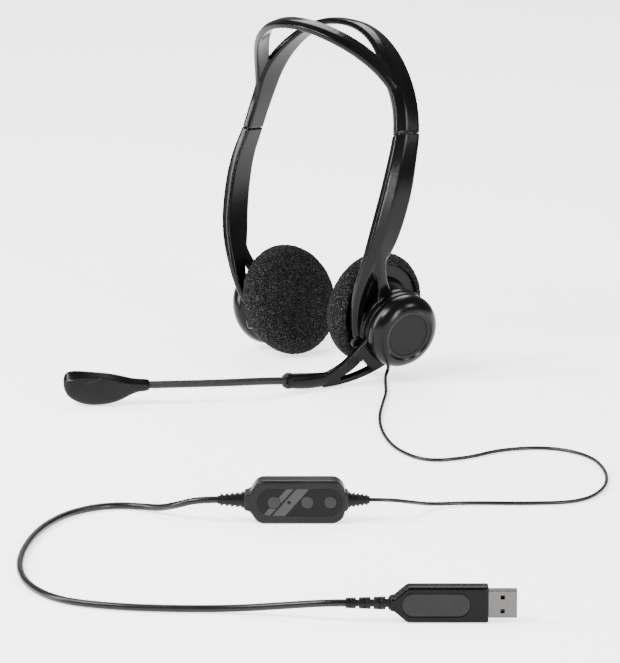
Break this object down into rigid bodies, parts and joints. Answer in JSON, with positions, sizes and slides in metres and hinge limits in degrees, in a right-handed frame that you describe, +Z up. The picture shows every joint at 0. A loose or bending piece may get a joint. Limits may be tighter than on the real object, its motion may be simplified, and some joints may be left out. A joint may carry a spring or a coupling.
{
  "type": "office headset",
  "caption": "Wired office headset: split headband, sliding arms, tilting foam ear pads, swinging boom microphone, and a cord with an in-line control and a USB-A plug.",
  "frame": {"origin": "middle of the foot of the headset's own bounding box, on the surface that it stands on; the cord, control and plug are left out of that box", "axes": "+Z up, +X to the wearer's left, +Y to the wearer's back; the headset leans 6.2 degrees to the wearer's right and 6.0 degrees back onto its right pad, boom root and microphone"},
  "size_m": [0.4778, 0.4093, 0.178],
  "materials": {
    "band_plastic": "satin",
    "gloss_black": "gloss",
    "badge_grey": "matte",
    "black_plastic": "satin",
    "mic_plastic": "matte",
    "foam": "matte",
    "spring_steel": "satin",
    "gooseneck_braid": "satin",
    "cord_jacket": "satin",
    "relief_rubber": "matte",
    "control_plastic": "matte",
    "key_grey": "matte",
    "circuit_board": "satin",
    "clear_lens": "gloss",
    "driver_metal": "satin",
    "mesh_dark": "satin",
    "inlay_grey": "matte",
    "nickel": "gloss",
    "white_plastic": "satin",
    "gold_contact": "gloss"
  },
  "bodies": {
    "left_arm": {"left_arm": "band_plastic", "left_slider_tongue": "spring_steel", "left_arm_lead": "cord_jacket", "left_ball_stud": "spring_steel", "left_hub_screw": "spring_steel", "left_hub_cap": "gloss_black", "left_badge": "badge_grey", "cord_bushing": "black_plastic", "headset_cord": "cord_jacket", "control_front_shell": "control_plastic", "control_back_shell": "control_plastic", "control_window": "gloss_black", "control_board": "circuit_board", "control_lens": "clear_lens", "control_screws": "spring_steel", "control_relief_headset": "relief_rubber", "control_relief_usb": "relief_rubber", "usb_cord": "cord_jacket", "usb_relief": "relief_rubber", "usb_body_front": "black_plastic", "usb_body_back": "black_plastic", "usb_inlay": "inlay_grey", "usb_shell": "nickel", "usb_tongue": "white_plastic", "usb_contacts": "gold_contact", "usb_board": "circuit_board"},
    "headband": {"headband": "band_plastic", "band_lead": "cord_jacket", "left_slider_detent": "spring_steel", "right_slider_detent": "spring_steel"},
    "right_arm": {"right_arm": "band_plastic", "right_slider_tongue": "spring_steel", "right_arm_lead": "cord_jacket", "right_ball_stud": "spring_steel", "right_hub_screw": "spring_steel", "right_hub_cap": "gloss_black", "right_badge": "badge_grey", "right_hub_spacer": "black_plastic"},
    "left_pad": {"left_ear_foam": "foam", "left_baffle": "black_plastic", "left_driver": "driver_metal", "left_driver_cover": "black_plastic"},
    "right_pad": {"right_ear_foam": "foam", "right_baffle": "black_plastic", "right_driver": "driver_metal", "right_driver_cover": "black_plastic"},
    "boom": {"boom_bracket": "black_plastic", "boom_collar": "black_plastic", "gooseneck_lower": "gooseneck_braid"},
    "microphone": {"gooseneck_upper": "gooseneck_braid", "mic_front_shell": "mic_plastic", "mic_back_shell": "black_plastic", "mic_capsule": "driver_metal", "mic_port_mesh": "mesh_dark"},
    "mute_key": {"mute_key": "key_grey"},
    "volume_up_key": {"volume_up_key": "key_grey"},
    "volume_down_key": {"volume_down_key": "key_grey"}
  },
  "joints": [
    {"name": "left_slider", "type": "slide", "parent": "left_arm", "child": "headband", "axis": [-0.4332, 0.1535, 0.8881], "range_m": [0, 0.012]},
    {"name": "right_slider", "type": "slide", "parent": "headband", "child": "right_arm", "axis": [-0.231, -0.1573, -0.9601], "range_m": [0, 0.012]},
    {"name": "left_pad_tilt", "type": "hinge", "parent": "left_arm", "child": "left_pad", "pos_m": [0.04578, 0.06575, 0.0334], "axis": [0.0057, 0.9945, -0.1043], "range_deg": [-5, 5]},
    {"name": "right_pad_tilt", "type": "hinge", "parent": "right_arm", "child": "right_pad", "pos_m": [-0.03756, 0.06528, 0.02436], "axis": [0.0057, 0.9945, -0.1043], "range_deg": [-5, 5]},
    {"name": "boom_swing", "type": "hinge", "parent": "left_arm", "child": "boom", "pos_m": [0.05099, 0.06635, 0.02785], "axis": [-0.9612, 0.1605, 0.2242], "range_deg": [-4, 60]},
    {"name": "neck_bend", "type": "hinge", "parent": "boom", "child": "microphone", "pos_m": [0.03284, -0.03513, 0.01039], "axis": [-0.1078, 0.1043, 0.9887], "range_deg": [-20, 20]},
    {"name": "mute_press", "type": "slide", "parent": "left_arm", "child": "mute_key", "axis": [-0.7547, 0.6561, 0], "range_m": [0, 0.0007], "stiffness_N_per_m": 900, "springref_m": -0.0008},
    {"name": "volume_up_press", "type": "slide", "parent": "left_arm", "child": "volume_up_key", "axis": [-0.7547, 0.6561, 0], "range_m": [0, 0.0007], "stiffness_N_per_m": 900, "springref_m": -0.0008},
    {"name": "volume_down_press", "type": "slide", "parent": "left_arm", "child": "volume_down_key", "axis": [-0.7547, 0.6561, 0], "range_m": [0, 0.0007], "stiffness_N_per_m": 900, "springref_m": -0.0008}
  ]
}
